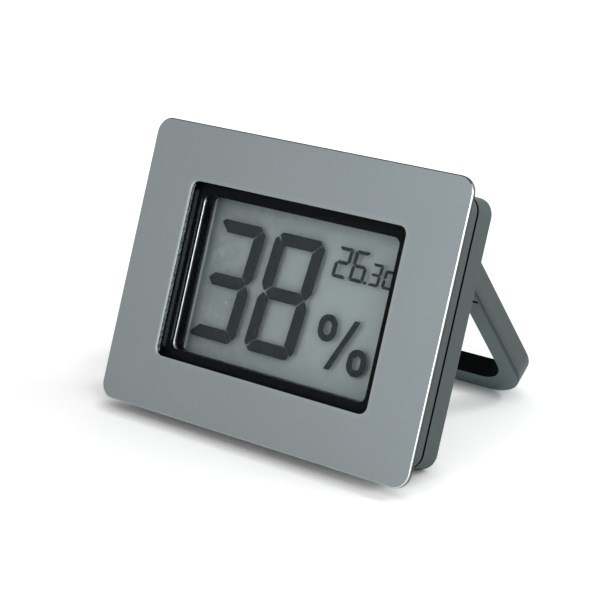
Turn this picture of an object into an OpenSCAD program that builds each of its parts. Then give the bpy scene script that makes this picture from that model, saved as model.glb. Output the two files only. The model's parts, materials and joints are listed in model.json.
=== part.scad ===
// Digital humidity and temperature meter for a humidor, resting on its folded-out stand.
// Every module is drawn in the instrument's own frame: x to the right, y into the case
// from the front of the face plate, z up the plate. posed() then leans it back onto its stand.

/* [Face plate] */
// Width of the face plate
plate_w = 60; // [54:1:80]
// Height of the face plate
plate_h = 46; // [41.5:0.5:60]
// Thickness of the face plate
plate_t = 0.7; // [0.5:0.1:1]
// Corner radius of the face plate
plate_r = 2.6; // [1:0.2:5]
// Bevel along the front edge of the face plate
plate_bevel = 0.15; // [0.05:0.05:0.3]
// Metal left of and right of the window
border_side = 9.5; // [9:0.1:12]
// Metal above and below the window
border_top = 8.9; // [8.8:0.1:10]
// Corner radius of the window
window_r = 1.4; // [0.6:0.2:3]
// Thickness of the adhesive frame behind the plate
tape_t = 0.15; // [0.1:0.05:0.3]

/* [Case] */
// How far the plate stands out past the case all round
overhang = 2.35; // [1.5:0.05:3]
// Depth of the whole instrument, from the front of the plate to the back
case_d = 10.8; // [9.4:0.1:13]
// Corner radius of the case
case_r = 2.7; // [2.5:0.1:4]
// Rounding of the back edge
back_edge_r = 0.4; // [0.2:0.05:0.6]
// Wall thickness round the side of the front case
wall = 1.2; // [1:0.1:1.3]
// Thickness of the front wall of the front case
front_wall = 1.5; // [1.2:0.1:1.7]
// Thickness of the rear wall
rear_wall = 1.2; // [1:0.1:1.4]
// Plastic between the parting plane and the floor of the stand's slot
split_floor = 0.75; // [0.6:0.05:0.8]
// Width of the black parting groove
groove_w = 0.45; // [0.2:0.05:0.5]
// Depth of the parting groove
groove_deep = 0.6; // [0.3:0.05:0.7]
// Thickness of the lip that lines up the two halves
lip_t = 0.9; // [0.7:0.1:1]
// Clearance between the lip and the front case
lip_gap = 0.1; // [0.05:0.05:0.2]
// Length of the lip, into the front case
lip_len = 0.9; // [0.5:0.1:1]
// Height of the nib in the parting groove, below the middle
nib_drop = 6.2; // [0:0.1:12]
// Width of the nib in the parting groove
nib_w = 0.35; // [0.2:0.05:0.8]

/* [Display] */
// Thickness of the clear lens
lens_t = 0.8; // [0.7:0.1:1.2]
// How far the lens reaches behind the plate
lens_overlap = 0.8; // [0.5:0.1:1]
// Clearance round the lens
lens_gap = 0.15; // [0.1:0.05:0.3]
// Width of the black lip that shows inside the window, beside and above the display
bezel_lip = 1.85; // [1.2:0.05:2.2]
// Width of the black lip below the display
low_lip = 1.45; // [1.2:0.05:2.2]
// How far the bezel's flange reaches past the lens
flange_out = 1.6; // [1.2:0.1:2]
// Thickness of the bezel's flange
flange_t = 0.8; // [0.6:0.1:1]
// Thickness of the bezel's skirt round the display opening
skirt_t = 1.0; // [0.7:0.1:1.2]
// Depth of the skirt behind the flange
skirt_d = 0.55; // [0.3:0.05:0.8]
// Thickness of the foam gasket
gasket_t = 0.3; // [0.2:0.05:0.4]
// Thickness of the front polariser
polariser_t = 0.2; // [0.1:0.05:0.3]
// Thickness of the front glass
front_glass_t = 0.5; // [0.4:0.05:0.6]
// Thickness of the liquid crystal layer with its seal
crystal_t = 0.1; // [0.05:0.05:0.15]
// Thickness of the rear glass
rear_glass_t = 0.95; // [0.5:0.05:1]
// Thickness of the reflector film
reflector_t = 0.15; // [0.1:0.05:0.2]
// Glass past the opening at the sides and top
glass_margin = 1.2; // [1.1:0.1:1.6]
// Width of the contact ledge below the rear glass
ledge_h = 1.6; // [1.4:0.1:1.8]
// Width of the seal frame
seal_w = 0.6; // [0.4:0.1:0.9]

/* [Readings] */
// Humidity shown, in percent
humidity_shown = 38; // [10:1:98]
// Temperature shown, in tenths of a degree
tenths_shown = 263; // [100:1:399]
// Height of the large digits
big_h = 19.15; // [15:0.5:20]
// Width of the large digits
big_w = 9.6; // [7:0.2:9.6]
// Stroke of the large digits
big_t = 2.0; // [1.2:0.1:2.2]
// Distance between the large digits
big_pitch = 11.6; // [10.8:0.1:11.6]
// Height of the small digits
small_h = 4.85; // [4:0.1:5]
// Width of the small digits
small_w = 2.7; // [2:0.1:2.8]
// Stroke of the small digits
small_t = 0.55; // [0.4:0.05:0.6]
// Distance between the small digits
small_pitch = 3.2; // [3.1:0.05:3.3]
// Height of the tenths digit
tiny_h = 3.5; // [3:0.1:3.8]
// Height of the unit letter
unit_h = 2.9; // [2.6:0.1:3.5]
// Width of the tenths digit and the unit letter
tiny_w = 2.0; // [1.6:0.1:2.1]
// Stroke of the tenths digit and the unit letter
tiny_t = 0.45; // [0.3:0.05:0.5]
// Lean of the digits
digit_lean = 5.5; // [0:0.1:6]
// Height of the percent sign
percent_h = 8.2; // [6:0.2:8.6]
// Stroke of the percent sign
percent_t = 1.0; // [0.7:0.1:1.1]
// Slant of the percent sign's stroke, sideways from its middle
percent_slant = 1.93; // [1.5:0.05:2.1]
// Width of each ring in the percent sign
percent_ring_w = 3.4; // [2.8:0.1:3.5]
// Height of each ring in the percent sign
percent_ring_h = 4.2; // [3.6:0.1:4.3]

/* [Stand] */
// Width of the wall outside the stand's slot
slot_wall = 2.6; // [1.8:0.05:2.6]
// Clearance round the stand in its slot
stand_gap = 0.3; // [0.2:0.05:0.4]
// Width of the stand's bars, seen from behind
bar_w = 3.6; // [3:0.1:3.8]
// Thickness of the stand's bars
bar_t = 3.6; // [3:0.1:3.7]
// Gap between the case's lower side and the foot of the folded stand
foot_gap = 1.13; // [0.5:0.01:3]
// Distance from the top of the case down to the hinge
hinge_drop = 7.38; // [6:0.1:9]
// Outer radius of the stand's lower corners
stand_r = 8.5; // [6:0.1:10]
// Angle between the folded and the open stand
open_angle = 58; // [45:1:60]
// Radius of the hinge pins
pin_r = 0.9; // [0.7:0.05:1.1]
// Length of the hinge pins
pin_len = 1.4; // [1:0.1:1.5]
// Running clearance between pin and hole
pin_gap = 0.05; // [0.02:0.01:0.08]
// Gap between the open stand and its stop
stop_gap = 0.1; // [0.05:0.05:0.2]
// Distance from the hinge to the latch groove across each arm
latch_at = 12.3; // [9:0.1:14]
// Width of the latch groove
latch_w = 0.55; // [0.4:0.05:0.8]
// Length of the latch groove
latch_l = 2.1; // [1.6:0.1:2.4]
// Depth of the latch groove
latch_deep = 0.4; // [0.3:0.05:0.6]
// Thickness of the slot's floor
slot_floor = 0.65; // [0.5:0.05:0.7]

/* [Electronics] */
// Room for the parts between the board and the rear wall
part_room = 1.35; // [1.35:0.05:1.5]
// Width of the zebra strip
zebra_w = 1.0; // [0.8:0.1:1.2]
// Thickness of the circuit board
board_t = 0.8; // [0.6:0.1:1]
// Clearance round the circuit board
board_gap = 0.3; // [0.2:0.05:0.4]
// Diameter of the coin cell
cell_dia = 20; // [16:0.5:20]
// Thickness of the coin cell
cell_t = 2.5; // [1.6:0.1:2.5]
// Clearance between the cell and the board round it
cell_gap = 0.6; // [0.4:0.1:0.8]
// Thickness of the contact strips
strip_t = 0.15; // [0.1:0.05:0.2]
// Width of the contact strips
strip_w = 4; // [3:0.5:5]

/* [Back] */
// How far the battery door stands out past the cell
door_margin = 2.15; // [2.1:0.05:2.3]
// Thickness of the battery door
door_t = 1.1; // [0.9:0.1:1.2]
// Clearance round the battery door
door_gap = 0.15; // [0.1:0.05:0.2]
// Length of the coin slot
coin_slot_l = 11; // [8:0.5:14]
// Width of the coin slot
coin_slot_w = 1.8; // [1.4:0.1:2.4]
// Depth of the coin slot
coin_slot_deep = 0.6; // [0.4:0.1:0.7]
// How far the bayonet tabs stand out past the door
tab_out = 1.1; // [0.8:0.1:1.2]
// Thickness of the bayonet tabs
tab_t = 0.6; // [0.5:0.05:0.7]
// Angle that each bayonet tab spans
tab_span = 24; // [18:1:28]
// Angle that unlocks the battery door
door_turn = 40; // [35:1:50]
// Radius of the unit button
button_r = 2.0; // [1.6:0.1:2.2]
// Running clearance round the button
button_gap = 0.08; // [0.05:0.01:0.1]
// Travel of the button
button_travel = 0.4; // [0.3:0.05:0.5]
// Width of the vent slots
vent_w = 0.9; // [0.6:0.1:1.2]
// Distance between the vent slots
vent_pitch = 2.2; // [1.8:0.1:2.6]
// Share of the strip below the battery that the vent slots take
vent_share = 0.65; // [0.45:0.05:0.7]
// Number of vent slots
vent_count = 6; // [3:1:7]
// Radius of the screw heads
head_r = 1.5; // [1.2:0.1:1.6]
// Radius of the screw shanks
shank_r = 0.8; // [0.6:0.05:0.9]
// Length of the screws below the head
screw_len = 5; // [4:0.25:5.5]
// Distance from the case's side to the screws
screw_in_x = 10.15; // [9.6:0.05:11]
// Distance from the case's top and bottom to the screws
screw_in_z = 3.65; // [3.4:0.05:4]

/* [Hidden] */
$fn = 64;

// Outlines that follow from the plate
window_w = plate_w - 2 * border_side;
window_h = plate_h - 2 * border_top;
case_w = plate_w - 2 * overhang;
case_h = plate_h - 2 * overhang;
inner_w = case_w - 2 * wall;
inner_h = case_h - 2 * wall;
lens_w = window_w + 2 * lens_overlap;
lens_h = window_h + 2 * lens_overlap;
lens_r = window_r + lens_overlap;
open_w = window_w - 2 * bezel_lip;
open_h = window_h - bezel_lip - low_lip;
open_z = (low_lip - bezel_lip) / 2;
open_r = 1.2;

// Depths of the layers, from the front of the plate
y_tape = plate_t;
y_case = y_tape + tape_t;
y_step = y_case + lens_t;
y_flange = y_case + front_wall;
y_skirt = y_flange + flange_t;
y_gasket = y_skirt + skirt_d;
y_polariser = y_gasket + gasket_t;
y_glass = y_polariser + polariser_t;
y_crystal = y_glass + front_glass_t;
y_rear_glass = y_crystal + crystal_t;
y_reflector = y_rear_glass + rear_glass_t;
y_display_end = y_reflector + reflector_t;
y_inside = case_d - rear_wall;
y_board_back = y_inside - part_room;
y_board = y_board_back - board_t;

// Display glass
glass_w = open_w + 2 * glass_margin;
glass_top = open_z + open_h / 2 + glass_margin - 0.15;
rear_low = open_h / 2 - open_z + 0.6;
front_low = rear_low + ledge_h;

// Hinge and stand
hinge_y = case_d - bar_t / 2;
hinge_z = case_h / 2 - hinge_drop;
stand_w = case_w - 2 * slot_wall - 2 * stand_gap;
stand_len = case_h - hinge_drop + foot_gap + bar_w;
arm_out = stand_w / 2;
arm_in = arm_out - bar_w;
slot_in = arm_in - stand_gap;
slot_clear = 0.2;
slot_y = case_d - bar_t - slot_clear;
slot_end_r = bar_t / 2 + slot_clear;
inside_wall = 1.0;
cavity_x = slot_in - inside_wall;
cavity_z = inner_h / 2 - lip_gap - inside_wall;
slab_y = slot_y - slot_floor;
y_split = slot_y - split_floor;
y_cover = y_split + groove_w;
latch_clear = 0.15;

// Readings, placed from the middle of the display and drawn for an opening of this size
drawn_w = 37.3;
drawn_h = 24.9;
big_x = -1.88;
big_z = -0.22;
percent_x = 10.6;
percent_z = -5.25;
ring_x = 3.24;
ring_z = 2.03;
small_x = 7.45;
small_z = 6.92;
point_x = 12.15;
tiny_x = 13.75;
unit_x = 16.3;
reading_scale = min(open_w / drawn_w, open_h / drawn_h);

// Lean of the instrument: the floor touches the foot's front edge and the case's back edge
foot_z = hinge_z - stand_len * cos(open_angle) - bar_t / 2 * sin(open_angle);
foot_y = hinge_y + stand_len * sin(open_angle) - bar_t / 2 * cos(open_angle);
heel_z = -case_h / 2 + back_edge_r;
heel_y = case_d - back_edge_r;
rest_span = norm([foot_y - heel_y, foot_z - heel_z]);
tilt = atan2(foot_z - heel_z, foot_y - heel_y) + asin(back_edge_r / rest_span);
lift = foot_y * sin(tilt) - foot_z * cos(tilt);
front_reach = -(plate_h / 2 - plate_bevel) * sin(tilt);
back_reach = hinge_z * sin(tilt) + hinge_y * cos(tilt)
    + stand_len * sin(open_angle - tilt) + bar_t / 2 * cos(open_angle - tilt);
centre_y = (front_reach + back_reach) / 2;

// Board and what stands on it
board_w = 2 * (cavity_x - board_gap);
board_h = 2 * (cavity_z - board_gap / 2);
board_hole_r = cell_dia / 2 + cell_gap;
side_strip_x = (board_hole_r + board_w / 2) / 2;
screw_x = case_w / 2 - screw_in_x;
screw_z = case_h / 2 - screw_in_z;
boss_r = 1.7;
boss_hole_r = shank_r + 0.02;
shank_hole_r = shank_r + 0.15;
head_t = 0.9;
head_sink = 0.1;
y_head = case_d - head_sink - head_t;

// Battery and its contacts
door_r = cell_dia / 2 + door_margin;
contact_gap = 0.2;
y_door = case_d - door_t;
y_strip = y_display_end + contact_gap;
cell_back = y_door - contact_gap;
cell_front = cell_back - cell_t;
y_tab = y_inside - 0.1 - tab_t;
door_hole_r = door_r + door_gap;
tab_r = door_r + tab_out;
notch_r = tab_r + 0.2;
rim_out = door_r - 0.15;
rim_in = rim_out - 1.0;
tab_angles = [90, 210, 330];

// Button
button_x = side_strip_x + 0.1;
button_z = board_hole_r - 0.2;
button_top = case_d - 0.15;
flange_r = button_r + 0.7;
dome_h = 0.4;
dome_r = 2.2;
stem_r = 1.0;
stem_y = y_board_back + dome_h + button_travel + 0.02;
flange_back = y_inside - 0.1;
flange_front = flange_back - 0.3;

// Middle of the strip between the battery opening and the lower wall
low_strip_h = cavity_z - notch_r;
low_strip_z = -(notch_r + cavity_z) / 2;
sensor_w = 8;
sensor_t = 0.6;
sensor_h = 0.7 * low_strip_h;
sensor_leg = 0.6;
sensor_lift = 0.4;
bead_r = 0.5;
bead_x = 8.5;
lead_r = 0.15;
chip_l = 1.6;
chip_t = 0.6;
chip_w = 0.8;
chip_pitch = 3.2;

// Segments of a seven-segment digit that light for 0 to 9
LIT = [["a", "b", "c", "d", "e", "f"], ["b", "c"], ["a", "b", "g", "e", "d"], ["a", "b", "g", "c", "d"],
    ["f", "g", "b", "c"], ["a", "f", "g", "c", "d"], ["a", "f", "g", "e", "c", "d"], ["a", "b", "c"],
    ["a", "b", "c", "d", "e", "f", "g"], ["a", "b", "c", "d", "f", "g"]];
LETTER_C = ["a", "f", "e", "d"];

plastic = [0.33, 0.38, 0.375];
black = [0.05, 0.055, 0.06];
steel = [0.56, 0.6, 0.6];
segment_dark = [0.16, 0.2, 0.21];
clear = [0.85, 0.92, 0.92, 0.35];

// Placement and shared shapes

// Leans the instrument back and sets it down on the floor, centred
module posed() {
    translate([0, -centre_y, lift])
        rotate([-tilt, 0, 0])
            children();
}

// Extrudes a shape drawn in x and z from depth y0 to depth y1
module layer(y0, y1) {
    translate([0, y1, 0])
        rotate([90, 0, 0])
            linear_extrude(height = y1 - y0)
                children();
}

// Cylinder that points into the case
module plug(x, z, r, y0, y1) {
    translate([x, y0, z])
        rotate([-90, 0, 0])
            cylinder(r = r, h = y1 - y0);
}

// Rectangle with round corners, centred
module round_rect(w, h, r) {
    square([w - 2 * r, h], center = true);
    square([w, h - 2 * r], center = true);
    for (x = [-1, 1], z = [-1, 1])
        translate([x * (w / 2 - r), z * (h / 2 - r)])
            circle(r = r);
}

// Profile across a slab, with bevels of size c on its front corners
module bevel_profile(w, y0, y1, c) {
    polygon([[-w / 2 + c, y0], [w / 2 - c, y0], [w / 2, y0 + c], [w / 2, y1], [-w / 2, y1], [-w / 2, y0 + c]]);
}

// Profile across a slab, with its back corners rounded to radius e
module soft_profile(w, y0, y1, e) {
    translate([-w / 2, y0])
        square([w, y1 - y0 - e]);
    translate([-w / 2 + e, y0])
        square([w - 2 * e, y1 - y0]);
    for (x = [-1, 1])
        translate([x * (w / 2 - e), y1 - e])
            circle(r = e);
}

// Slab with round corners and a bevelled front edge
module bevel_slab(w, h, r, y0, y1, c) {
    linear_extrude(height = h - 2 * r, center = true)
        bevel_profile(w, y0, y1, c);
    rotate([0, -90, 0])
        linear_extrude(height = w - 2 * r, center = true)
            bevel_profile(h, y0, y1, c);
    for (x = [-1, 1], z = [-1, 1])
        translate([x * (w / 2 - r), 0, z * (h / 2 - r)])
            rotate([-90, 0, 0])
                rotate_extrude()
                    polygon([[0, y0], [r - c, y0], [r, y0 + c], [r, y1], [0, y1]]);
}

// Slab with round corners and a rounded back edge
module soft_slab(w, h, r, y0, y1, e) {
    linear_extrude(height = h - 2 * r, center = true)
        soft_profile(w, y0, y1, e);
    rotate([0, -90, 0])
        linear_extrude(height = w - 2 * r, center = true)
            soft_profile(h, y0, y1, e);
    for (x = [-1, 1], z = [-1, 1])
        translate([x * (w / 2 - r), 0, z * (h / 2 - r)])
            rotate([-90, 0, 0])
                rotate_extrude()
                    intersection() {
                        soft_profile(2 * r, y0, y1, e);
                        translate([0, y0])
                            square([r, y1 - y0]);
                    }
}

// Loop of the stand, hinge line at the top, drawn flat: grow widens it all round
module stand_loop(grow, top) {
    difference() {
        tongue(stand_w + 2 * grow, stand_len + grow, stand_r + grow, top);
        tongue(2 * arm_in - 2 * grow, stand_len - bar_w - grow, stand_r - bar_w - grow, top + 1);
    }
}

// Rectangle hanging from height top, with its two lower corners round
module tongue(w, drop, r, top) {
    translate([-w / 2, -drop + r])
        square([w, drop - r + top]);
    translate([-w / 2 + r, -drop])
        square([w - 2 * r, drop + top]);
    for (x = [-1, 1])
        translate([x * (w / 2 - r), -drop + r])
            circle(r = r);
}

// Sector of a ring, between two angles less than 90 degrees apart
module ring_sector(r0, r1, a0, a1) {
    far = 2 * r1;
    difference() {
        intersection() {
            circle(r = r1);
            polygon([[0, 0], [far * cos(a0), far * sin(a0)], [far * cos(a1), far * sin(a1)]]);
        }
        circle(r = r0);
    }
}

// Places something at each of the four screws
module at_screws() {
    for (x = [-1, 1], z = [-1, 1])
        translate([x * screw_x, 0, z * screw_z])
            children();
}

// Leans a point of a digit
function lean(p, sx, sy) = [sx * p[0] + sy * p[1] * tan(digit_lean), sy * p[1]];

// Upper bar of a digit, and its upper left bar, drawn for an upright digit about its centre
function bar_top(w, h, t, g) = [[-w / 2 + t / 4 + g, h / 2 - t / 4], [-w / 2 + t / 2 + g, h / 2],
    [w / 2 - t / 2 - g, h / 2], [w / 2 - t / 4 - g, h / 2 - t / 4], [w / 2 - t - g, h / 2 - t],
    [-w / 2 + t + g, h / 2 - t]];
function bar_side(w, h, t, g) = [[-w / 2, h / 2 - t / 2 - g], [-w / 2 + t / 4, h / 2 - t / 4 - g],
    [-w / 2 + t, h / 2 - t - g], [-w / 2 + t, t / 2 + g], [-w / 2 + t / 2, g], [-w / 2 + t / 3, g],
    [-w / 2, t / 2 + g]];
function bar_middle(w, t, g) = [[-w / 2 + t / 2 + g, 0], [-w / 2 + t + g, t / 2], [w / 2 - t - g, t / 2],
    [w / 2 - t / 2 - g, 0], [w / 2 - t - g, -t / 2], [-w / 2 + t + g, -t / 2]];

// One bar of a seven-segment digit
module segment(name, w, h, t, g) {
    sx = (name == "b" || name == "c") ? -1 : 1;
    sy = (name == "c" || name == "d" || name == "e") ? -1 : 1;
    points = name == "g" ? bar_middle(w, t, g)
        : (name == "a" || name == "d") ? bar_top(w, h, t, g)
        : bar_side(w, h, t, g);
    polygon([for (p = points) lean(p, sx, sy)]);
}

// Puts a dark shape in the liquid crystal layer, at a place on the display
module reading(x, z) {
    layer(y_crystal, y_rear_glass)
        translate([reading_scale * x, open_z + reading_scale * z])
            children();
}

// One digit, centred on x and z, as bars in the liquid crystal layer
module digit(lit, x, z, w, h, t) {
    k = reading_scale;
    for (name = lit)
        reading(x, z)
            segment(name, k * w, k * h, k * t, k * t / 9);
}

// Oval ring of the percent sign
module percent_ring(x, z) {
    r = reading_scale * percent_ring_w / 2;
    straight = reading_scale * (percent_ring_h - percent_ring_w);
    reading(x, z)
        difference() {
            oval(r, straight);
            oval(r - reading_scale * percent_t, straight);
        }
}

// Upright oval with round ends
module oval(r, straight) {
    square([2 * r, straight], center = true);
    for (s = [-1, 1])
        translate([0, s * straight / 2])
            circle(r = r);
}

// Sub-parts

module face_plate() {
    color(steel)
        posed()
            difference() {
                bevel_slab(plate_w, plate_h, plate_r, 0, plate_t, plate_bevel);
                layer(-1, plate_t + 1)
                    round_rect(window_w, window_h, window_r);
            }
}

module plate_adhesive() {
    tape_edge = 0.4;
    color("white")
        posed()
            layer(y_tape, y_case)
                difference() {
                    round_rect(case_w - 2 * tape_edge, case_h - 2 * tape_edge, case_r - tape_edge);
                    round_rect(window_w + tape_edge, window_h + tape_edge, window_r + tape_edge / 2);
                }
}

module window_lens() {
    color(clear)
        posed()
            layer(y_case, y_step)
                round_rect(lens_w, lens_h, lens_r);
}

module front_case() {
    lens_hole = 2 * lens_gap;
    color(plastic)
        posed()
            difference() {
                union() {
                    difference() {
                        layer(y_case, y_split)
                            round_rect(case_w, case_h, case_r);
                        layer(y_flange, y_split + 1)
                            round_rect(inner_w, inner_h, case_r - wall);
                    }
                    at_screws()
                        plug(0, 0, boss_r, y_flange, y_board);
                }
                layer(y_case - 1, y_flange + 0.01)
                    round_rect(lens_w + lens_hole, lens_h + lens_hole, lens_r + lens_gap);
                at_screws()
                    plug(0, 0, boss_hole_r, y_head - screw_len - 0.3, y_board + 1);
            }
}

// Outline of the display opening: grow widens it all round
module opening(grow) {
    translate([0, open_z])
        round_rect(open_w + 2 * grow, open_h + 2 * grow, open_r + grow);
}

// Black frame that shows as the lip and the deep walls inside the window
module display_bezel() {
    step_gap = 0.05;
    flange_w = lens_w + 2 * flange_out;
    flange_tall = 2 * (screw_z - boss_r - 0.2);
    color(black)
        posed()
            difference() {
                union() {
                    layer(y_step, y_flange)
                        round_rect(lens_w + lens_gap - step_gap, lens_h + lens_gap - step_gap, lens_r);
                    layer(y_flange, y_skirt) {
                        square([flange_w, flange_tall], center = true);
                        square([2 * (screw_x - boss_r - 0.3), lens_h + 1.4 * flange_out], center = true);
                    }
                    layer(y_skirt, y_gasket)
                        opening(skirt_t);
                }
                layer(y_step - 1, y_gasket + 1)
                    opening(0);
            }
}

module display_gasket() {
    color([0.1, 0.1, 0.11])
        posed()
            layer(y_gasket, y_polariser)
                difference() {
                    opening(skirt_t);
                    opening(0);
                }
}

module front_polariser() {
    color(clear)
        posed()
            layer(y_polariser, y_glass)
                translate([-glass_w / 2 + 0.2, -rear_low])
                    square([glass_w - 0.4, rear_low + glass_top - 0.2]);
}

module front_glass() {
    color(clear)
        posed()
            layer(y_glass, y_crystal)
                translate([-glass_w / 2, -front_low])
                    square([glass_w, front_low + glass_top]);
}

// Outline shared by the liquid crystal layer and the sheets behind it
module rear_outline(grow) {
    translate([-glass_w / 2 - grow, -rear_low - grow])
        square([glass_w + 2 * grow, rear_low + glass_top + 2 * grow]);
}

module crystal_seal() {
    color([0.7, 0.72, 0.68])
        posed()
            layer(y_crystal, y_rear_glass)
                difference() {
                    rear_outline(0);
                    rear_outline(-seal_w);
                }
}

// Large reading: two digits and the percent sign
module humidity_segments() {
    color(segment_dark)
        posed() {
            digit(LIT[floor(humidity_shown / 10)], big_x - big_pitch, big_z, big_w, big_h, big_t);
            digit(LIT[humidity_shown % 10], big_x, big_z, big_w, big_h, big_t);
            percent_ring(percent_x - ring_x, percent_z + ring_z);
            percent_ring(percent_x + ring_x, percent_z - ring_z);
            reading(percent_x, percent_z)
                polygon([for (p = [[-1, -1, -1], [-1, 1, -1], [1, 1, 1], [1, -1, 1]])
                    reading_scale * [p[0] * percent_slant + p[1] * percent_t / 2, p[2] * percent_h / 2]]);
        }
}

// Small reading: two digits, the point, the tenths and the unit
module temperature_segments() {
    tiny_z = small_z - (small_h - tiny_h) / 2;
    unit_z = small_z - (small_h - unit_h) / 2;
    color(segment_dark)
        posed() {
            digit(LIT[floor(tenths_shown / 100)], small_x, small_z, small_w, small_h, small_t);
            digit(LIT[floor(tenths_shown / 10) % 10], small_x + small_pitch, small_z, small_w, small_h, small_t);
            digit(LIT[tenths_shown % 10], tiny_x, tiny_z, tiny_w, tiny_h, tiny_t);
            digit(LETTER_C, unit_x, unit_z, tiny_w, unit_h, tiny_t);
            reading(point_x, small_z - small_h / 2 + tiny_t / 2)
                square(tiny_t * reading_scale, center = true);
        }
}

module rear_glass() {
    color(clear)
        posed()
            layer(y_rear_glass, y_reflector)
                rear_outline(0);
}

module reflector_film() {
    color([0.5, 0.55, 0.54])
        posed()
            layer(y_reflector, y_display_end)
                rear_outline(0);
}

module zebra_strip() {
    zebra_l = glass_w - 6;
    color("dimgray")
        posed()
            layer(y_crystal, y_board)
                translate([0, -(rear_low + front_low) / 2])
                    square([zebra_l, zebra_w], center = true);
}

module circuit_board() {
    color("darkgreen")
        posed()
            difference() {
                layer(y_board, y_board_back)
                    round_rect(board_w, board_h, 0.8);
                plug(0, 0, board_hole_r, y_board - 1, y_board_back + 1);
                at_screws()
                    plug(0, 0, shank_hole_r, y_board - 1, y_board_back + 1);
            }
}

// Epoxy blob over the chip: a shallow dome at a set distance from the board's edge
module chip_blob() {
    blob_r = 2.6;
    blob_h = 0.8;
    blob_edge = 0.975;
    ball_r = (blob_r * blob_r + blob_h * blob_h) / (2 * blob_h);
    color(black)
        posed()
            translate([blob_edge + blob_r - board_w / 2, y_board_back, -4.4])
                rotate([-90, 0, 0])
                    intersection() {
                        translate([0, 0, blob_h - ball_r])
                            sphere(r = ball_r, $fn = 200);
                        cylinder(r = blob_r + 1, h = blob_h + 1);
                    }
}

module crystal_can() {
    can_r = 0.55;
    can_l = 4.4;
    color("silver")
        posed()
            translate([-side_strip_x - 0.9, y_board_back + can_r, 2.6])
                cylinder(r = can_r, h = can_l);
}

// Chip capacitors and resistors in a row above the cell
module chip_passives() {
    color("tan")
        posed()
            for (i = [-2 : 2])
                translate([i * chip_pitch - chip_l / 2, y_board_back, -low_strip_z - chip_w / 2])
                    cube([chip_l, chip_t, chip_w]);
}

// Humidity sensor: a small coated plate on two legs, behind the vents
module humidity_sensor() {
    color("white")
        posed()
            translate([0, y_board_back, low_strip_z - sensor_h / 2]) {
                translate([-sensor_w / 2, sensor_lift, 0])
                    cube([sensor_w, sensor_t, sensor_h]);
                for (s = [-1, 1])
                    translate([s * (sensor_w / 2 - sensor_leg) - sensor_leg / 2, 0, 0])
                        cube([sensor_leg, sensor_lift, sensor_leg]);
            }
}

// Thermistor: a bead on two bent leads
module thermistor() {
    lead_l = low_strip_h / 2;
    color("saddlebrown")
        posed()
            translate([bead_x, y_board_back, low_strip_z - lead_l / 2]) {
                translate([0, bead_r, lead_l])
                    sphere(r = bead_r);
                for (s = [-1, 1])
                    translate([s * bead_r / 2, lead_r, 0])
                        cylinder(r = lead_r, h = lead_l);
            }
}

// Bent strip under the cell, from the board's front face to the middle of the cell
module negative_contact() {
    pad_x = board_hole_r + 0.6;
    tip_y = cell_front - strip_t;
    color("silver")
        posed()
            translate([0, 0, -strip_w / 2])
                linear_extrude(height = strip_w)
                    polygon([[-pad_x - 2, y_board - strip_t], [-pad_x, y_board - strip_t], [-pad_x + 1.2, y_strip],
                        [0, y_strip], [4, tip_y], [6, tip_y], [6, cell_front], [3.8, cell_front],
                        [-0.2, y_strip + strip_t], [-pad_x + 1.3, y_strip + strip_t], [-pad_x + 0.1, y_board],
                        [-pad_x - 2, y_board]]);
}

// Clip on the board that presses on the side of the cell
module positive_contact() {
    clip_x = cell_dia / 2 + 0.25;
    foot_x = board_hole_r + 0.6;
    top_y = cell_back - 0.2;
    color("silver")
        posed()
            translate([0, 0, -strip_w / 2])
                linear_extrude(height = strip_w)
                    polygon([[foot_x + 2, y_board_back], [foot_x + 2, y_board_back + strip_t],
                        [clip_x + strip_t, y_board_back + strip_t], [clip_x - 0.1, top_y - 0.6],
                        [clip_x + strip_t, top_y], [clip_x, top_y], [clip_x - 0.25, top_y - 0.6],
                        [clip_x, y_board_back]]);
}

module coin_cell() {
    rim = 0.35;
    color("silver")
        posed()
            difference() {
                plug(0, 0, cell_dia / 2, cell_front, cell_back);
                difference() {
                    plug(0, 0, cell_dia / 2 + 1, cell_front - 1, cell_front + 0.3);
                    plug(0, 0, cell_dia / 2 - 2 * rim, cell_front - 2, cell_front + 1);
                }
            }
}

// Snap dome under the button
module button_dome() {
    ball_r = (dome_r * dome_r + dome_h * dome_h) / (2 * dome_h);
    color("silver")
        posed()
            translate([button_x, y_board_back, button_z])
                rotate([-90, 0, 0])
                    intersection() {
                        translate([0, 0, dome_h - ball_r])
                            sphere(r = ball_r, $fn = 200);
                        cylinder(r = dome_r + 1, h = dome_h + 1);
                    }
}

module unit_button() {
    dish_r = 3 * button_r;
    dish_deep = 0.2;
    color(plastic)
        posed()
            difference() {
                union() {
                    plug(button_x, button_z, button_r, flange_back, button_top);
                    plug(button_x, button_z, flange_r, flange_front, flange_back);
                    plug(button_x, button_z, stem_r, stem_y, flange_front);
                }
                translate([button_x, button_top - dish_deep + dish_r, button_z])
                    sphere(r = dish_r);
            }
}

// Everything that is cut out of the rear cover for the stand
module stand_slot() {
    stop_r = bar_t / 2 + stop_gap;
    out = 12;
    stop_y = hinge_y + stop_r * cos(open_angle);
    stop_z = hinge_z + stop_r * sin(open_angle);
    translate([0, 0, hinge_z])
        layer(slot_y, case_d + 1)
            stand_loop(stand_gap, 0);
    for (s = [-1, 1])
        translate([s * (slot_in + arm_out + stand_gap) / 2, 0, 0])
            rotate([0, -90, 0])
                linear_extrude(height = bar_w + 2 * stand_gap, center = true) {
                    translate([hinge_z, hinge_y])
                        circle(r = slot_end_r);
                    polygon([[hinge_z, hinge_y], [stop_z, stop_y],
                        [stop_z - out * cos(open_angle), stop_y + out * sin(open_angle)]]);
                }
    for (s = [-1, 1])
        translate([s * arm_out, hinge_y, hinge_z])
            rotate([0, s * 90, 0])
                cylinder(r = pin_r + pin_gap, h = pin_len + 0.2);
}

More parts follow.
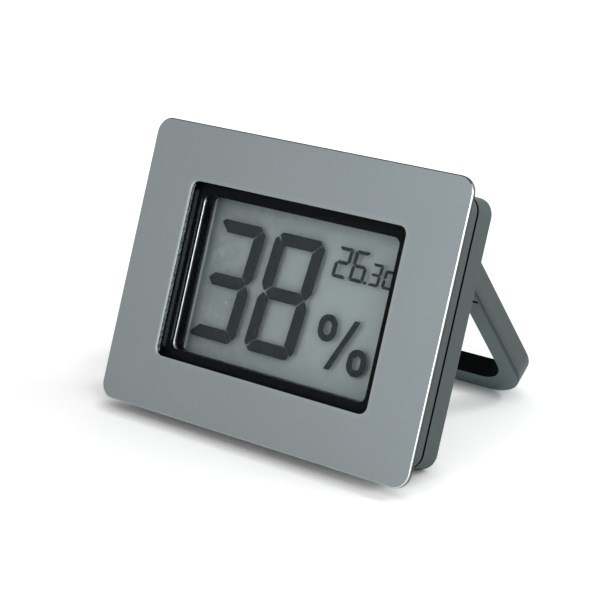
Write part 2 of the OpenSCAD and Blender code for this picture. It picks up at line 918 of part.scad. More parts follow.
// Ridge on the slot's floor that snaps into the stand's latch groove
module latch_ridge(s) {
    ridge_w = latch_w - 2 * latch_clear;
    ridge_l = latch_l - 6 * latch_clear;
    ridge_top = slot_y + slot_clear + latch_deep - latch_clear;
    translate([s * (arm_in + arm_out) / 2 - ridge_l / 2, slab_y, hinge_z - latch_at - ridge_w / 2])
        cube([ridge_l, ridge_top - slab_y, ridge_w]);
}

// Bayonet rim of the battery opening: three notches let the tabs in
module battery_opening() {
    plug(0, 0, door_hole_r, y_inside - 1, case_d + 1);
    half = tab_span / 2 + 2;
    for (a = tab_angles)
        layer(y_inside - 1, case_d + 1)
            ring_sector(door_r - 1, notch_r, a - door_turn - half, a - door_turn + half);
}

// Stops inside the rim, one just past each tab when the door is locked
module door_stops() {
    start = tab_span / 2 + 1;
    stop_span = 5;
    for (a = tab_angles)
        layer(y_tab, y_inside + 0.1)
            ring_sector(door_hole_r, notch_r, a + start, a + start + stop_span);
}

module rear_cover() {
    lip_w = inner_w - 2 * lip_gap;
    lip_h = inner_h - 2 * lip_gap;
    neck = 2 * groove_deep;
    color(plastic)
        posed() {
            difference() {
                union() {
                    soft_slab(case_w, case_h, case_r, y_cover, case_d, back_edge_r);
                    layer(y_split, y_cover)
                        round_rect(case_w - neck, case_h - neck, case_r - groove_deep);
                    layer(y_split - lip_len, y_split)
                        difference() {
                            round_rect(lip_w, lip_h, case_r - wall);
                            round_rect(lip_w - 2 * lip_t, lip_h - 2 * lip_t, 0.5);
                        }
                    layer(slab_y, y_cover)
                        round_rect(lip_w, lip_h, case_r - wall);
                    for (s = [-1, 1])
                        translate([s * (case_w / 2 - groove_deep) - groove_deep, y_split, -nib_drop - nib_w / 2])
                            cube([2 * groove_deep, groove_w, nib_w]);
                }
                layer(slab_y - 1, y_inside)
                    round_rect(2 * cavity_x, 2 * cavity_z, 1);
                at_screws()
                    plug(0, 0, boss_r + 0.25, y_split - lip_len - 1, y_board + 0.05);
                stand_slot();
                battery_opening();
                plug(button_x, button_z, button_r + button_gap, y_inside - 1, case_d + 1);
                for (i = [0 : vent_count - 1])
                    layer(y_inside - 1, case_d + 1)
                        translate([(i - (vent_count - 1) / 2) * vent_pitch, low_strip_z])
                            square([vent_w, vent_share * low_strip_h], center = true);
                at_screws()
                    plug(0, 0, head_r + 0.15, y_head, case_d + 1);
                at_screws()
                    plug(0, 0, shank_hole_r, y_board, case_d + 1);
            }
            difference() {
                at_screws()
                    plug(0, 0, boss_r, y_board_back, y_head);
                at_screws()
                    plug(0, 0, shank_hole_r, y_board, case_d + 1);
            }
            door_stops();
            for (s = [-1, 1])
                latch_ridge(s);
        }
}

module battery_door() {
    color(plastic)
        posed() {
            difference() {
                plug(0, 0, door_r, y_door, case_d);
                layer(case_d - coin_slot_deep, case_d + 1)
                    square([coin_slot_l, coin_slot_w], center = true);
            }
            layer(y_tab, y_door)
                difference() {
                    circle(r = rim_out);
                    circle(r = rim_in);
                }
            for (a = tab_angles)
                layer(y_tab, y_tab + tab_t)
                    ring_sector((rim_in + rim_out) / 2, tab_r, a - tab_span / 2, a + tab_span / 2);
        }
}

// Folded stand about its hinge, before it is swung open
module folded_stand() {
    difference() {
        union() {
            layer(-bar_t / 2, bar_t / 2)
                stand_loop(0, 0);
            for (s = [-1, 1])
                translate([s * arm_in, 0, 0])
                    rotate([0, s * 90, 0])
                        cylinder(r = bar_t / 2, h = bar_w);
        }
        for (s = [-1, 1])
            translate([s * (arm_in + arm_out) / 2, -bar_t / 2, -latch_at])
                cube([latch_l, 2 * latch_deep, latch_w], center = true);
    }
    for (s = [-1, 1])
        translate([s * (arm_out - 0.5), 0, 0])
            rotate([0, s * 90, 0])
                cylinder(r = pin_r, h = pin_len + 0.5);
}

module stand() {
    color(plastic)
        posed()
            translate([0, hinge_y, hinge_z])
                rotate([open_angle, 0, 0])
                    folded_stand();
}

// Four screws that hold the two halves and the board together
module case_screws() {
    cross_l = 1.7;
    cross_w = 0.45;
    cross_deep = 0.5;
    color("silver")
        posed()
            at_screws() {
                difference() {
                    plug(0, 0, head_r, y_head, y_head + head_t);
                    layer(y_head + head_t - cross_deep, y_head + head_t + 1) {
                        square([cross_l, cross_w], center = true);
                        square([cross_w, cross_l], center = true);
                    }
                }
                plug(0, 0, shank_r, y_head - screw_len, y_head);
            }
}

face_plate();
plate_adhesive();
window_lens();
front_case();
display_bezel();
display_gasket();
front_polariser();
front_glass();
crystal_seal();
humidity_segments();
temperature_segments();
rear_glass();
reflector_film();
zebra_strip();
circuit_board();
chip_blob();
crystal_can();
chip_passives();
humidity_sensor();
thermistor();
negative_contact();
positive_contact();
coin_cell();
button_dome();
unit_button();
rear_cover();
battery_door();
stand();
case_screws();
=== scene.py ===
import json
import math

import bpy
from mathutils import Euler, Matrix, Vector


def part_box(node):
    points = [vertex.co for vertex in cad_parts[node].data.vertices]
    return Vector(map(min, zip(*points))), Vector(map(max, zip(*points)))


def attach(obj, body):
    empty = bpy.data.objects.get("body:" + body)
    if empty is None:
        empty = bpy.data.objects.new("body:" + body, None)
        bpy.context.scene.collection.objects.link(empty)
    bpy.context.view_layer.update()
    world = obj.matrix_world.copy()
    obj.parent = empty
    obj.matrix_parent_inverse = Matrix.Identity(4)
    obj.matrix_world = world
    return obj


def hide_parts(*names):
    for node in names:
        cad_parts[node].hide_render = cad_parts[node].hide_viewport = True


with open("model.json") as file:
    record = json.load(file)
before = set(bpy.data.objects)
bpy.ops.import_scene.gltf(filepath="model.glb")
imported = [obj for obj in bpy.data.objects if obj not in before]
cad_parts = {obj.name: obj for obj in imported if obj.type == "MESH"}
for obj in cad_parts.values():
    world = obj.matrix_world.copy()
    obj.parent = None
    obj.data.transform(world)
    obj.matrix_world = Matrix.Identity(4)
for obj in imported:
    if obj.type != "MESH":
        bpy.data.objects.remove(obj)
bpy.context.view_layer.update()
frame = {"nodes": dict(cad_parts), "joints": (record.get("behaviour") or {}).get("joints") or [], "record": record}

NODES = frame["nodes"]
MM = 0.001

# The instrument's own frame, in mm: x right, y into the case from the front of the plate, z up the
# plate. It leans as the battery door's axis does, and its origin is the middle of the plate's front.
LENS_FRONT = 0.85
LENS_BACK = 1.65
INWARD = Vector(next(j for j in frame["joints"] if j["child"] == "battery_door")["axis"])
TILT = math.atan2(-INWARD.z, INWARD.y)
LENS_LOW, LENS_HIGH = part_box("window_lens")
ORIGIN = (LENS_LOW + LENS_HIGH) / 2 - INWARD * (LENS_FRONT + LENS_BACK) / 2 * MM
RIGHT = Vector((1, 0, 0))
LOCAL_UP = Vector((0, math.sin(TILT), math.cos(TILT)))
LOCAL = Matrix.Translation(ORIGIN) @ Matrix.Rotation(-TILT, 4, "X") @ Matrix.Scale(MM, 4)

# The open stand: where its foot bar faces, and how far the foot reaches sideways and forwards, in mm.
# The foot zone is the height over the floor, in metres, that only the foot bar and the arms' ends lie in.
OPEN_ANGLE = math.radians(58)
STAND_LEAN = OPEN_ANGLE - TILT
TO_HINGE = Vector((0, -math.sin(STAND_LEAN), math.cos(STAND_LEAN)))
STAND_FRONT = Vector((0, -math.cos(STAND_LEAN), -math.sin(STAND_LEAN)))
FOOT_ZONE = 0.015
STAND_POINTS = [v.co.copy() for v in NODES["stand"].data.vertices]
STAND_HALF_W = max(p.x for p in STAND_POINTS if p.z < FOOT_ZONE) / MM
STAND_FRONT_AT = max((p - ORIGIN).dot(STAND_FRONT) for p in STAND_POINTS) / MM

# Camera: focal length in mm, place in the instrument's frame in mm, and turn in degrees
CAMERA_LENS = 114.0
CAMERA_AT = (169.884, -232.093, 13.396)
CAMERA_TURN = (70.0429, 0.4092, 37.9066)

# Lamps: place and size in metres, power in watts. All aim at the middle of the object.
LAMPS = {
    "key": ((1.3, 1.1, 1.5), 0.8, 12.0),
    "front": ((-0.35, -1.9, 1.0), 1.8, 16.0),
    "side": ((1.6, -0.9, 0.8), 1.2, 12.0),
}
LAMP_AIM = Vector((0, 0, 0.02))

# Strength of the dome of light away from its bright side and towards it
DOME_LOW, DOME_HIGH = 0.0, 1.0
DOME_BRIGHT_SIDE = (0.85, 0.35, 0.4)

# Floor, with distances in metres: its tone as a source of bounced light, its tones as seen near and far
# off, and the shade where the object comes close to it, which is a power of how much sky is open
FLOOR_HALF = 4.0
FLOOR_BOUNCE = 0.9
FLOOR_NEAR, FLOOR_FAR = 1.2, 2.6
FLOOR_FADE = (0.08, 1.0)
CONTACT_REACH = 0.003
CONTACT_SAMPLES = 8
CONTACT_DEPTH = (0.3, 2.8)
CONTACT_FADE = (0.0, 0.014)
UNLIT_SIDE = (-0.5, -0.87, 0)

# Colours. Some of them are painted highlights, painted reflections and painted shade.
FACE_GREY = (0.166, 0.189, 0.194)
# Painted highlight and painted shade on the plate's cut edges
EDGE_HIGHLIGHT_METAL = (0.75, 0.79, 0.79)
EDGE_SHADE_METAL = (0.04, 0.048, 0.048)
CASE_GREY = (0.036, 0.053, 0.052)
# Black of painted shade: the parting groove, and the stand's faces turned towards the hinge
PAINTED_SHADE_BLACK = (0.002, 0.0025, 0.0025)
BEZEL_BLACK = (0.0025, 0.0035, 0.004)
# Painted highlight and painted reflection on the bezel's lip
BEZEL_HIGHLIGHT = (0.78, 0.82, 0.82)
BEZEL_REFLECTION = (0.085, 0.1, 0.1)
REFLECTOR_GREY = (0.275, 0.315, 0.31)
# Pale grey of the dust specks and of the painted reflection strip on the display's backing
REFLECTOR_DUST_AND_GLINT = (0.6, 0.68, 0.67)

# Where finishes, painted highlights, painted reflections and painted shade change, in mm in the instrument's frame
# Painted shade in the parting groove
GROOVE = (6.2, 6.72)
GROOVE_SOFT = 0.02
WINDOW = (20.5, 14.1, 1.4)
WINDOW_LEFT = (-20.4, -20.1)
WINDOW_WALL = (0.05, 0.1)
# Painted highlight on the plate along the window's edge: its reach all round, and its reach at the left side
WINDOW_HIGHLIGHT = (0.0, 0.8)
WINDOW_HIGHLIGHT_REACH = (0.15, 0.5)
# Painted highlights on the plate's outer cut edges: where the right side begins, and the depths of the bevel's and
# the right side's highlights
PLATE_RIGHT = (24, 25)
BEVEL_HIGHLIGHT_DEPTH = (0.1, 0.16)
WALL_HIGHLIGHT_DEPTH = (0.2, 0.3)
# Depth of the painted highlight on the lip's edges
LIP_DEPTH = (2.1, 2.15)
# Painted reflection streaks on the lip's left part: place across with soft edge, and where they end up and down
WIDE_REFLECTION, WIDE_REFLECTION_END = (-20.95, -20.3, 0.15), (12.2, 13)
THIN_REFLECTION, THIN_REFLECTION_END = (-19.45, -19.15, 0.1), (11, 11.8)
# Painted light across the display's backing, painted shade near its upright edges, and the painted reflection
# strip along them
REFLECTOR_LIGHT_FADE = (-16, 18)
REFLECTOR_SHADE = (18.2, 19.3, 0.25)
REFLECTOR_GLINT_STRIP = (19.3, 19.5)
STAND_SIDE = (STAND_HALF_W - 1.0, STAND_HALF_W - 0.2)
STAND_FACE = (STAND_FRONT_AT - 1.0, STAND_FRONT_AT - 0.2)

# Display glass, in mm: the polariser, the front glass with its contact ledge, and the rear glass
GLASS_W = 39.7
GLASS_TOP = 13.3
GLASS_LOW = -14.85
REAR_LOW = -13.25
POLARISER_IN = 0.2
GLASS_CUT = 0.3
DEPTH_POLARISER = 4.0
DEPTH_FRONT_GLASS = 4.2
DEPTH_CRYSTAL = 4.7
DEPTH_REFLECTOR = 5.75
REFLECTOR_BITE = 0.01

# Radius in mm and steps of the rounded edges
ROUNDINGS = {
    "front_case": (0.08, 2),
    "rear_cover": (0.08, 2),
    "stand": (0.3, 3),
    "battery_door": (0.12, 2),
    "unit_button": (0.12, 2),
    "display_bezel": (0.3, 4),
    "face_plate": (0.11, 2),
}
SHARP_ANGLE = math.radians(40)
WELD_REACH = 0.000001
NORMAL_WEIGHT = 100


def shade(colour, k):
    """A colour made paler or darker by a factor."""
    return tuple(min(1.0, c * k) for c in colour)


# Node trees
class Tree:
    """Short calls that add nodes to a node tree and join them."""

    # Numbers of the Mix node's two colour inputs and of its colour output
    MIX_FIRST, MIX_SECOND, MIX_COLOUR = 6, 7, 2

    def __init__(self, tree):
        self.tree = tree

    def feed(self, socket, value):
        """Joins a socket to another one, or gives it a plain value."""
        if isinstance(value, bpy.types.NodeSocket):
            self.tree.links.new(value, socket)
        else:
            socket.default_value = value

    def node(self, kind, **inputs):
        n = self.tree.nodes.new(kind)
        for key, value in inputs.items():
            self.feed(n.inputs[key.replace("_", " ")], value)
        return n

    def math(self, operation, first, second=0.0, third=0.0):
        n = self.tree.nodes.new("ShaderNodeMath")
        n.operation = operation
        for socket, value in zip(n.inputs, (first, second, third)):
            self.feed(socket, value)
        return n.outputs[0]

    def dot(self, where, direction):
        n = self.node("ShaderNodeVectorMath", Vector=where)
        n.operation = "DOT_PRODUCT"
        n.inputs[1].default_value = direction
        return n.outputs["Value"]

    def length(self, where):
        n = self.node("ShaderNodeVectorMath", Vector=where)
        n.operation = "LENGTH"
        return n.outputs["Value"]

    def span(self, value, low, high, start=0.3, stop=0.7):
        """Spreads the part of a value between start and stop over low to high."""
        inputs = {"From_Min": start, "From_Max": stop, "To_Min": low, "To_Max": high}
        return self.node("ShaderNodeMapRange", Value=value, **inputs).outputs["Result"]

    def band(self, value, start, stop, soft):
        """1 between start and stop, fading to 0 over a soft edge."""
        rise = self.span(value, 0, 1, start - soft, start + soft)
        fall = self.span(value, 1, 0, stop - soft, stop + soft)
        return self.math("MULTIPLY", rise, fall)

    def tint(self, factor, first, second):
        """A colour from the first one to the second one."""
        n = self.tree.nodes.new("ShaderNodeMix")
        n.data_type = "RGBA"
        self.tree.links.new(factor, n.inputs["Factor"])
        for index, value in ((self.MIX_FIRST, first), (self.MIX_SECOND, second)):
            self.feed(n.inputs[index], (*value, 1) if isinstance(value, tuple) else value)
        return n.outputs[self.MIX_COLOUR]

    def seen_ray(self):
        """1 for a ray that shows the background: from the camera, a mirror or glass."""
        path = self.node("ShaderNodeLightPath")
        seen = self.math("MAXIMUM", path.outputs["Is Camera Ray"], path.outputs["Is Glossy Ray"])
        return self.math("MAXIMUM", seen, path.outputs["Is Transmission Ray"])


class Finish(Tree):
    """A material with a Principled shader, in the instrument's frame."""

    def __init__(self, name, **sockets):
        self.mat = bpy.data.materials.new(name)
        self.mat.use_nodes = True
        super().__init__(self.mat.node_tree)
        self.shader = self.tree.nodes["Principled BSDF"]
        for key, value in sockets.items():
            self.put(key.replace("_", " "), value)

    def put(self, socket, value):
        self.feed(self.shader.inputs[socket], value)

    def place(self, stretch=(1, 1, 1)):
        """Object coordinates in mm, turned into the instrument's frame and stretched."""
        where = self.node("ShaderNodeTexCoord").outputs["Object"]
        turn = self.node("ShaderNodeVectorRotate", Vector=where)
        turn.rotation_type = "X_AXIS"
        turn.inputs["Angle"].default_value = TILT
        size = self.node("ShaderNodeMapping", Vector=turn.outputs[0])
        size.inputs["Scale"].default_value = [s / MM for s in stretch]
        return size.outputs[0]

    def noise(self, stretch=(1, 1, 1), scale=1.0, detail=3.0, rough=0.5):
        where = self.place(stretch)
        n = self.node("ShaderNodeTexNoise", Vector=where, Scale=scale, Detail=detail, Roughness=rough)
        return n.outputs["Fac"]

    def specks(self, scale):
        """Small sparse dust specks."""
        strength = 0.6
        cells = self.node("ShaderNodeTexVoronoi", Vector=self.place(), Scale=scale)
        return self.span(cells.outputs["Distance"], strength, 0, 0.03, 0.05)

    def facing(self, direction):
        """How far the surface faces a direction of the rest pose: 1 towards it, -1 away from it."""
        return self.dot(self.node("ShaderNodeTexCoord").outputs["Normal"], direction)

    def along(self, direction):
        """Distance in mm from the middle of the plate's front, along a direction."""
        reach = self.dot(self.node("ShaderNodeTexCoord").outputs["Object"], direction)
        return self.math("MULTIPLY_ADD", reach, 1 / MM, -ORIGIN.dot(direction) / MM)

    def from_outline(self, half_w, half_h, radius):
        """Distance in mm outside a rounded rectangle around the middle of the plate."""
        across = self.math("SUBTRACT", self.math("ABSOLUTE", self.along(RIGHT)), half_w - radius)
        upward = self.math("SUBTRACT", self.math("ABSOLUTE", self.along(LOCAL_UP)), half_h - radius)
        across = self.math("MAXIMUM", across)
        upward = self.math("MAXIMUM", upward)
        corner = self.node("ShaderNodeCombineXYZ", X=across, Y=upward)
        return self.math("SUBTRACT", self.length(corner.outputs[0]), radius)

    def bump(self, height, strength, distance=0.05):
        """Relief, with its full height in mm."""
        n = self.node("ShaderNodeBump", Height=height, Strength=strength, Distance=distance * MM)
        self.put("Normal", n.outputs[0])


# Camera and light
def make_camera():
    data = bpy.data.cameras.new("camera")
    data.lens = CAMERA_LENS
    data.sensor_width = 36.0
    data.clip_start = 0.01
    data.clip_end = 20.0
    cam = bpy.data.objects.new("camera", data)
    bpy.context.scene.collection.objects.link(cam)
    cam.location = LOCAL @ Vector(CAMERA_AT)
    cam.rotation_euler = Euler([math.radians(a) for a in CAMERA_TURN])
    bpy.context.scene.camera = cam


def make_lamp(name, place, size, power):
    data = bpy.data.lights.new(name, "AREA")
    data.shape = "DISK"
    data.size = size
    data.energy = power
    lamp = bpy.data.objects.new(name, data)
    bpy.context.scene.collection.objects.link(lamp)
    lamp.location = place
    lamp.rotation_euler = (LAMP_AIM - Vector(place)).to_track_quat("-Z", "Y").to_euler()


def make_world():
    """A soft dome of light, brighter on one side, that shows as plain white."""
    white = (1, 1, 1, 1)
    world = bpy.data.worlds.new("world")
    bpy.context.scene.world = world
    world.use_nodes = True
    t = Tree(world.node_tree)
    sky = t.node("ShaderNodeTexCoord").outputs["Generated"]
    side = t.dot(sky, Vector(DOME_BRIGHT_SIDE).normalized())
    dome = t.span(side, DOME_LOW, DOME_HIGH, -1, 1)
    background = t.tree.nodes["Background"]
    background.inputs["Color"].default_value = white
    t.feed(background.inputs["Strength"], t.span(t.seen_ray(), dome, 1, 0, 1))


def contact_shade(t, where, pale):
    """Darkens the floor close under the object, most of all on the side away from the light."""
    sky = t.node("ShaderNodeAmbientOcclusion", Distance=CONTACT_REACH)
    sky.samples = CONTACT_SAMPLES
    depth = t.span(t.dot(where, UNLIT_SIDE), *CONTACT_DEPTH, *CONTACT_FADE)
    return t.math("MULTIPLY", t.math("POWER", sky.outputs["AO"], depth), pale)


def make_floor():
    """A large pale floor. It looks paler than it is as a source of bounced light, most of all far off."""
    mesh = bpy.data.meshes.new("floor")
    corners = [(x * FLOOR_HALF, y * FLOOR_HALF, 0) for x, y in ((-1, -1), (1, -1), (1, 1), (-1, 1))]
    mesh.from_pydata(corners, [], [(0, 1, 2, 3)])
    floor = bpy.data.objects.new("floor", mesh)
    bpy.context.scene.collection.objects.link(floor)
    mat = bpy.data.materials.new("floor")
    mat.use_nodes = True
    t = Tree(mat.node_tree)
    t.tree.nodes.clear()
    where = t.node("ShaderNodeTexCoord").outputs["Object"]
    pale = t.span(t.length(where), FLOOR_NEAR, FLOOR_FAR, *FLOOR_FADE)
    colour = t.span(t.seen_ray(), FLOOR_BOUNCE, contact_shade(t, where, pale), 0, 1)
    diffuse = t.node("ShaderNodeBsdfDiffuse", Color=colour)
    t.node("ShaderNodeOutputMaterial", Surface=diffuse.outputs[0])
    mesh.materials.append(mat)


# Materials
def plain_material(name, colour, rough, metallic=0.0, level=0.5, spread=0.06, relief=0.15):
    """Moulded or sheet material: slow colour drift, fine grain in the roughness and a fine relief."""
    grain = 0.35
    t = Finish(name, Metallic=metallic, Specular_IOR_Level=level)
    drift = t.span(t.noise(scale=0.12, detail=2), 0, 1)
    t.put("Base Color", t.tint(drift, shade(colour, 1 - spread), shade(colour, 1 + spread)))
    fine = t.noise(scale=1 / grain, detail=3)
    t.put("Roughness", t.span(fine, rough * 0.9, min(1.0, rough * 1.1)))
    t.bump(fine, relief)
    return t.mat


def brushed_face(t, face, lines, away):
    """The plate's brushed front: fine and long lines, clouds and dust specks, with a painted highlight along the
    window's edge that is strongest at its left side.
    """
    long_lines = t.noise(stretch=(2.2, 1, 0.03), scale=1.0, detail=2)
    cloud = t.noise(scale=0.06, detail=2)
    grey = t.tint(t.span(lines, 0, 1), shade(face, 0.965), shade(face, 1.03))
    grey = t.tint(t.span(long_lines, 0, 0.35), grey, shade(face, 0.955))
    grey = t.tint(t.span(cloud, 0, 0.5), grey, shade(face, 1.05))
    grey = t.tint(t.specks(0.3), grey, shade(face, 1.35))
    # Painted highlight: paler along the window's edge all round, and much paler near its left side
    grey = t.tint(t.span(away, 0.8, 0, *WINDOW_HIGHLIGHT), grey, shade(face, 1.15))
    left = t.span(t.along(RIGHT), 1, 0, *WINDOW_LEFT)
    left_window_highlight = t.math("MULTIPLY", left, t.span(away, 1, 0, *WINDOW_HIGHLIGHT_REACH))
    return t.tint(left_window_highlight, grey, shade(face, 1.9))


def cut_edge(t, bright, dark):
    """The plate's cut edges with painted light: painted shade on most of them, a painted highlight on the front
    bevel where it faces right and down, and a dimmer painted highlight on the front of the outer right side.
    """
    deep = t.along(INWARD)
    # Painted highlight on the front bevel where it faces right and down, and on the front of the outer right side;
    # painted shade elsewhere
    side = t.span(t.facing(RIGHT * 0.8 - LOCAL_UP * 0.6), 0, 1, 0.1, 0.3)
    bevel_highlight = t.math("MULTIPLY", side, t.span(deep, 1, 0, *BEVEL_HIGHLIGHT_DEPTH))
    at_right = t.span(t.along(RIGHT), 0, 1, *PLATE_RIGHT)
    outer = t.math("MULTIPLY", at_right, t.span(t.facing(RIGHT), 0, 1, 0.7, 0.9))
    wall_highlight = t.math("MULTIPLY", outer, t.span(deep, 1, 0, *WALL_HIGHLIGHT_DEPTH))
    edge = t.tint(wall_highlight, dark, shade(bright, 0.4))
    return t.tint(bevel_highlight, edge, shade(bright, 0.85))


def brushed_material(name, face, bright, dark):
    """Brushed sheet with painted light and shade on its cut edges. The window's left side, which faces right, is a
    dotted dull grey paler than the other cut edges: a painted lit side over the cut's rough grain.
    """
    t = Finish(name, Metallic=1.0)
    lines = t.noise(stretch=(7, 1, 0.1), scale=1.0, detail=4, rough=0.7)
    away = t.from_outline(*WINDOW)
    near = t.span(away, 1, 0, *WINDOW_WALL)
    # Painted light: the window's side that faces right gets a paler dotted grey than the other cut edges
    lit_window_side = t.math("MULTIPLY", near, t.span(t.facing(RIGHT), 0, 1, 0.7, 0.9))
    dots = t.span(t.noise(stretch=(3, 3, 3), detail=2), 0, 1, 0.4, 0.6)
    dotted = t.tint(dots, shade(face, 0.35), shade(face, 1.2))
    edge = t.tint(lit_window_side, cut_edge(t, bright, dark), dotted)
    flat = t.span(t.math("ABSOLUTE", t.facing(INWARD)), 0, 1, 0.93, 0.985)
    t.put("Metallic", t.math("SUBTRACT", 1.0, lit_window_side))
    t.put("Base Color", t.tint(flat, edge, brushed_face(t, face, lines, away)))
    t.put("Roughness", t.math("MULTIPLY", t.span(lines, 0.36, 0.46), t.span(flat, 0.6, 1, 0, 1)))
    t.bump(lines, 0.08, 0.02)
    return t.mat


def bezel_material(name, colour, rim, sheen):
    """Black plastic with painted light: a bright mirror-like painted highlight along the lip's upright inner edges
    that face right, and a painted reflection beside the metal on the lip's left part.
    """
    t = Finish(name, Specular_IOR_Level=0.04)
    fine = t.noise(scale=3, detail=3)
    # Painted highlight: bright and mirror-like on the lip's edges that face right
    upright = t.band(t.facing(RIGHT), 0.3, 0.965, 0.04)
    line = t.math("MULTIPLY", upright, t.span(t.along(INWARD), 1, 0, *LIP_DEPTH))
    line = t.math("MULTIPLY", line, t.span(t.facing(LOCAL_UP), 0, 1, -0.3, -0.1))
    out = t.along(RIGHT)
    up = t.math("ABSOLUTE", t.along(LOCAL_UP))
    # Painted reflection: grey streaks on the lip's left part
    wide = t.math("MULTIPLY", t.band(out, *WIDE_REFLECTION), t.span(up, 1, 0, *WIDE_REFLECTION_END))
    thin = t.math("MULTIPLY", t.band(out, *THIN_REFLECTION), t.span(up, 0.7, 0, *THIN_REFLECTION_END))
    painted_reflection = t.math("MAXIMUM", wide, thin)
    black = t.tint(t.span(fine, 0, 1), shade(colour, 0.8), shade(colour, 1.2))
    black = t.tint(t.math("MULTIPLY", painted_reflection, t.span(fine, 0.5, 1)), black, sheen)
    t.put("Base Color", t.tint(line, black, rim))
    t.put("Metallic", line)
    t.put("Roughness", t.span(line, 0.3, 0.15, 0, 1))
    t.bump(fine, 0.02)
    return t.mat


def reflector_material(name, colour, edge):
    """The display's grey backing, finely grained, with dust specks. It carries painted light: darker at the left
    and paler at the right, painted shade near its upright edges, and a brighter painted reflection strip along
    them.
    """
    t = Finish(name, Specular_IOR_Level=0.2, Roughness=0.7)
    drift = t.span(t.noise(scale=0.15, detail=2), 0, 1)
    cloud = t.noise(scale=0.9, detail=4)
    fine = t.noise(scale=5, detail=3)
    # Painted light: darker at the left, paler at the right
    across = t.span(t.along(RIGHT), 0, 1, *REFLECTOR_LIGHT_FADE)
    grey = t.tint(across, shade(colour, 0.7), shade(colour, 1.24))
    grey = t.tint(t.math("MULTIPLY", drift, t.span(cloud, 0, 0.8)), grey, shade(colour, 1.15))
    grey = t.tint(t.span(fine, 0, 0.3), grey, shade(colour, 1.3))
    grey = t.tint(t.specks(0.28), grey, edge)
    # Painted shade near the upright edges, and a painted reflection strip along them
    out = t.math("ABSOLUTE", t.along(RIGHT))
    grey = t.tint(t.band(out, *REFLECTOR_SHADE), grey, shade(colour, 0.8))
    t.put("Base Color", t.tint(t.span(out, 0, 1, *REFLECTOR_GLINT_STRIP), grey, edge))
    t.bump(fine, 0.06)
    return t.mat


def spark_grey(t, colour):
    """Dark grey moulded plastic with a slow drift and small patches."""
    drift = t.span(t.noise(scale=0.12, detail=2), 0, 1)
    patches = t.span(t.noise(scale=0.7, detail=3), 0, 0.5)
    grey = t.tint(drift, shade(colour, 0.93), shade(colour, 1.07))
    return t.tint(patches, grey, shade(colour, 1.12))


def spark_finish(t, grey, black):
    """Puts the grey on the shader, with a fine relief, and painted shade, black without gloss, where black is 1.
    """
    fine = t.noise(scale=6, detail=3)
    t.put("Base Color", t.tint(black, grey, PAINTED_SHADE_BLACK))
    t.put("Specular IOR Level", t.span(black, 0.35, 0.0, 0, 1))
    t.put("Roughness", t.span(fine, 0.45, 0.55))
    t.bump(fine, 0.22)
    return t.mat


def case_material(name, colour):
    """The case's plastic, with painted shade, black, in the parting groove."""
    t = Finish(name)
    # Painted shade: black in the parting groove
    groove = t.band(t.along(INWARD), *GROOVE, GROOVE_SOFT)
    return spark_finish(t, spark_grey(t, colour), groove)


def stand_material(name, colour):
    """The stand's plastic: a painted lit side, with faces turned to the front and down paler; darker outer front
    edges; and painted shade, nearly black, on faces turned towards the hinge.
    """
    t = Finish(name)
    # Painted light: faces turned to the front and down are paler
    lit_front = t.span(t.facing(STAND_FRONT), 0, 1, 0.9, 0.98)
    grey = t.tint(lit_front, spark_grey(t, colour), shade(colour, 2.9))
    side = t.span(t.math("ABSOLUTE", t.along(RIGHT)), 0, 1, *STAND_SIDE)
    face = t.span(t.along(STAND_FRONT), 0, 1, *STAND_FACE)
    grey = t.tint(t.math("MULTIPLY", side, face), grey, shade(colour, 0.65))
    # Painted shade: faces turned towards the hinge are nearly black
    inner = t.span(t.facing(TO_HINGE), 0, 0.97, 0.35, 0.75)
    return spark_finish(t, grey, inner)


def clear_material(name, ior, tint):
    """Thin clear sheet: a weak mirror over a plain see-through film."""
    mirror_rough = 0.04
    mat = bpy.data.materials.new(name)
    mat.use_nodes = True
    t = Tree(mat.node_tree)
    t.tree.nodes.clear()
    through = t.node("ShaderNodeBsdfTransparent", Color=(*tint, 1))
    mirror = t.node("ShaderNodeBsdfGlossy", Roughness=mirror_rough)
    fresnel = t.node("ShaderNodeFresnel", IOR=ior)
    mix = t.tree.nodes.new("ShaderNodeMixShader")
    for socket, part in zip(mix.inputs, (fresnel, through, mirror)):
        t.feed(socket, part.outputs[0])
    t.node("ShaderNodeOutputMaterial", Surface=mix.outputs[0])
    return mat


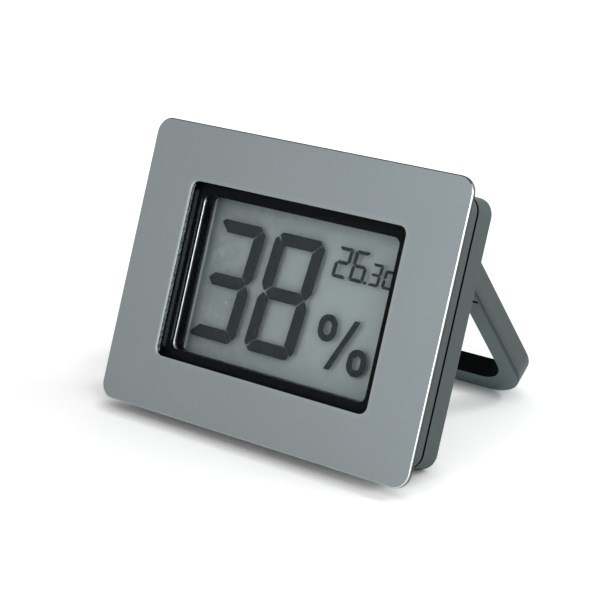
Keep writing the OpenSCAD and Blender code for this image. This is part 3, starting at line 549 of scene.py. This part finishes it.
def make_materials():
    """One material for each material slot of the record."""
    mats = {
        "face_metal": brushed_material("face_metal", FACE_GREY, EDGE_HIGHLIGHT_METAL, EDGE_SHADE_METAL),
        "case_plastic": case_material("case_plastic", CASE_GREY),
        "black_plastic": bezel_material("black_plastic", BEZEL_BLACK, BEZEL_HIGHLIGHT, BEZEL_REFLECTION),
        "reflector": reflector_material("reflector", REFLECTOR_GREY, REFLECTOR_DUST_AND_GLINT),
    }
    # Refractive index and tint
    clear = {
        "clear_lens": (1.06, (0.985, 0.99, 0.99)),
        "polariser": (1.02, (0.97, 0.98, 0.975)),
        "display_glass": (1.02, (0.98, 0.99, 0.985)),
    }
    for name, (ior, tint) in clear.items():
        mats[name] = clear_material(name, ior, tint)
    # Colour, roughness, and what differs from the usual values
    plain = {
        "adhesive": ((0.72, 0.72, 0.68), 0.8, {}),
        "foam": ((0.02, 0.02, 0.022), 0.95, {"level": 0.1, "relief": 0.5}),
        "seal": ((0.35, 0.37, 0.36), 0.5, {}),
        "segment": ((0.016, 0.022, 0.023), 0.6, {"level": 0.2, "spread": 0.03, "relief": 0.0}),
        "zebra": ((0.25, 0.25, 0.27), 0.7, {}),
        "board": ((0.02, 0.13, 0.06), 0.35, {"spread": 0.1}),
        "epoxy": ((0.01, 0.01, 0.011), 0.25, {}),
        "plated_steel": ((0.72, 0.71, 0.68), 0.25, {"metallic": 1.0, "relief": 0.03}),
        "ceramic": ((0.45, 0.36, 0.24), 0.5, {}),
        "cell_steel": ((0.66, 0.66, 0.65), 0.28, {"metallic": 1.0, "relief": 0.05}),
        "screw_steel": ((0.5, 0.5, 0.5), 0.33, {"metallic": 1.0, "relief": 0.08}),
    }
    for name, (colour, rough, more) in plain.items():
        mats[name] = plain_material(name, colour, rough, **more)
    return mats


# Pieces
def soften(node, width, segments):
    """Rounds the sharp edges of a CAD node with modifiers, so its own mesh stays as packed."""
    obj = NODES[node]
    weld = obj.modifiers.new("weld", "WELD")
    weld.merge_threshold = WELD_REACH
    bevel = obj.modifiers.new("bevel", "BEVEL")
    bevel.width = width * MM
    bevel.segments = segments
    bevel.limit_method = "ANGLE"
    bevel.angle_limit = SHARP_ANGLE
    bevel.use_clamp_overlap = True
    normals = obj.modifiers.new("normals", "WEIGHTED_NORMAL")
    normals.weight = NORMAL_WEIGHT


def rectangle(w, top, low, depth):
    """Corner points of a rectangle with its corners cut off, at one depth."""
    x = w / 2
    cut = GLASS_CUT
    return [(-x + cut, depth, top), (x - cut, depth, top), (x, depth, top - cut), (x, depth, low + cut),
            (x - cut, depth, low), (-x + cut, depth, low), (-x, depth, low + cut), (-x, depth, top - cut)]


def stack(rings):
    """Closed solid through rings of equal length, from the front one to the back one."""
    n = len(rings[0])
    verts = [p for ring in rings for p in ring]
    last = (len(rings) - 1) * n
    faces = [tuple(range(n)), tuple(last + i for i in reversed(range(n)))]
    for k in range(len(rings) - 1):
        for i in range(n):
            j = (i + 1) % n
            faces.append((k * n + j, k * n + i, (k + 1) * n + i, (k + 1) * n + j))
    return verts, faces


def new_piece(name, verts, faces, body, slot, mat):
    mesh = bpy.data.meshes.new(name)
    mesh.from_pydata([LOCAL @ Vector(v) for v in verts], [], faces)
    mesh.materials.append(mat)
    obj = bpy.data.objects.new(name, mesh)
    bpy.context.scene.collection.objects.link(obj)
    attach(obj, body)
    return obj


def display_cell(mat):
    """The display's glass and polariser as one clear body, which holds the dark segments."""
    film = (GLASS_W - 2 * POLARISER_IN, GLASS_TOP - POLARISER_IN, REAR_LOW)
    front = (GLASS_W, GLASS_TOP, GLASS_LOW)
    rear = (GLASS_W, GLASS_TOP, REAR_LOW)
    rings = [
        rectangle(*film, DEPTH_POLARISER),
        rectangle(*film, DEPTH_FRONT_GLASS),
        rectangle(*front, DEPTH_FRONT_GLASS),
        rectangle(*front, DEPTH_CRYSTAL),
        rectangle(*rear, DEPTH_CRYSTAL),
        rectangle(*rear, DEPTH_REFLECTOR + REFLECTOR_BITE),
    ]
    cell = new_piece("display_cell", *stack(rings), "case", "display_glass", mat)
    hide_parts("front_polariser", "front_glass", "rear_glass")


bpy.context.scene.view_settings.view_transform = "Standard"
make_camera()
make_world()
make_floor()
for lamp_name, lamp in LAMPS.items():
    make_lamp(lamp_name, *lamp)

MATS = make_materials()
for entry in frame["record"]["subparts"]:
    node = NODES[entry["node"]]
    node.data.materials.clear()
    node.data.materials.append(MATS[entry["material_slot"]])
display_cell(MATS["display_glass"])
NODES["stand"].data.materials[0] = stand_material("stand_plastic", CASE_GREY)

for name, (width, segments) in ROUNDINGS.items():
    soften(name, width, segments)
